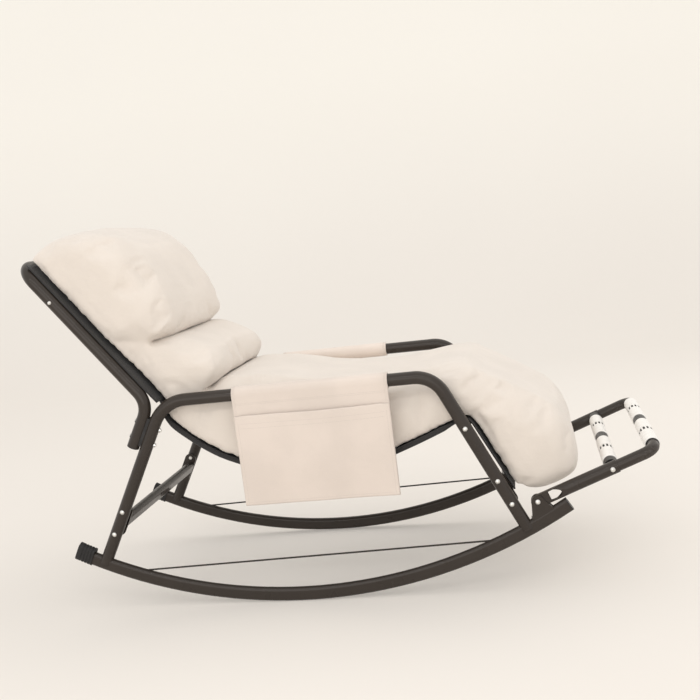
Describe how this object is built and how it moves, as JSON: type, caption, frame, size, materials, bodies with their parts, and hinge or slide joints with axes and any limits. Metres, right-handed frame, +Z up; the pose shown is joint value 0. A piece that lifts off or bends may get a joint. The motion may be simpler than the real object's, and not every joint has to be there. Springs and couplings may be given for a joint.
{
  "type": "platform rocker",
  "caption": "Reclined rocking lounge chair on curved tube runners, with a padded mat on a fabric sling, a draped armrest pocket and a hinged footrest with rollers.",
  "frame": {"origin": "on the floor, midway between the two points where the runners touch it at rest", "axes": "+X towards the sitter's feet, +Y towards the sitter's left, +Z up"},
  "size_m": [1.5623, 0.6107, 0.9963],
  "materials": {
    "frame": "gloss dark brown lacquer",
    "rubber": "matt",
    "dark_plastic": "satin",
    "fastener": "zinc plated",
    "axle": "plain steel",
    "sling": "tight weave",
    "mat": "soft plain weave over padding",
    "cover": "plain weave",
    "roller": "satin white"
  },
  "bodies": {
    "frame": {"left_runner": "frame", "right_runner": "frame", "left_tie_rod": "frame", "right_tie_rod": "frame", "left_rear_boot": "rubber", "right_rear_boot": "rubber", "left_runner_plug": "dark_plastic", "right_runner_plug": "dark_plastic", "left_side_frame": "frame", "right_side_frame": "frame", "rear_crossbar": "frame", "front_crossbar": "frame", "seat_front_bar": "frame", "crossbar_bolts": "fastener", "seat_bar_screws": "fastener", "left_back_upright": "frame", "right_back_upright": "frame", "back_bow": "frame", "bow_screws": "fastener", "upright_plugs": "dark_plastic", "saddle_strips": "dark_plastic", "back_bolts": "fastener", "sling": "sling", "head_cushion": "mat", "lumbar_cushion": "mat", "seat_cushion": "mat", "leg_cushion": "mat", "armrest_cover": "cover", "side_pocket": "cover", "plain_armrest_cover": "cover", "left_pivot_bracket": "frame", "right_pivot_bracket": "frame", "pivot_bolts": "fastener"},
    "footrest": {"left_footrest_arm": "frame", "right_footrest_arm": "frame", "left_footrest_end": "frame", "right_footrest_end": "frame", "first_axle": "axle", "second_axle": "axle", "axle_screws": "fastener", "axle_flanges": "dark_plastic", "axle_spacers": "dark_plastic"},
    "first_roller_near_body": {"first_roller_near": "roller"},
    "first_roller_far_body": {"first_roller_far": "roller"},
    "second_roller_near_body": {"second_roller_near": "roller"},
    "second_roller_far_body": {"second_roller_far": "roller"}
  },
  "joints": [
    {"name": "footrest_hinge", "type": "hinge", "parent": "frame", "child": "footrest", "pos_m": [0.61814, 0, 0.2269], "axis": [0, -1, 0], "range_deg": [0, 25]},
    {"name": "first_roller_near_spin", "type": "hinge", "parent": "footrest", "child": "first_roller_near_body", "pos_m": [0.79865, 0, 0.298], "axis": [0, 1, 0], "continuous": true},
    {"name": "first_roller_far_spin", "type": "hinge", "parent": "footrest", "child": "first_roller_far_body", "pos_m": [0.79865, 0, 0.298], "axis": [0, 1, 0], "continuous": true},
    {"name": "second_roller_near_spin", "type": "hinge", "parent": "footrest", "child": "second_roller_near_body", "pos_m": [0.89913, 0, 0.33758], "axis": [0, 1, 0], "continuous": true},
    {"name": "second_roller_far_spin", "type": "hinge", "parent": "footrest", "child": "second_roller_far_body", "pos_m": [0.89913, 0, 0.33758], "axis": [0, 1, 0], "continuous": true}
  ]
}
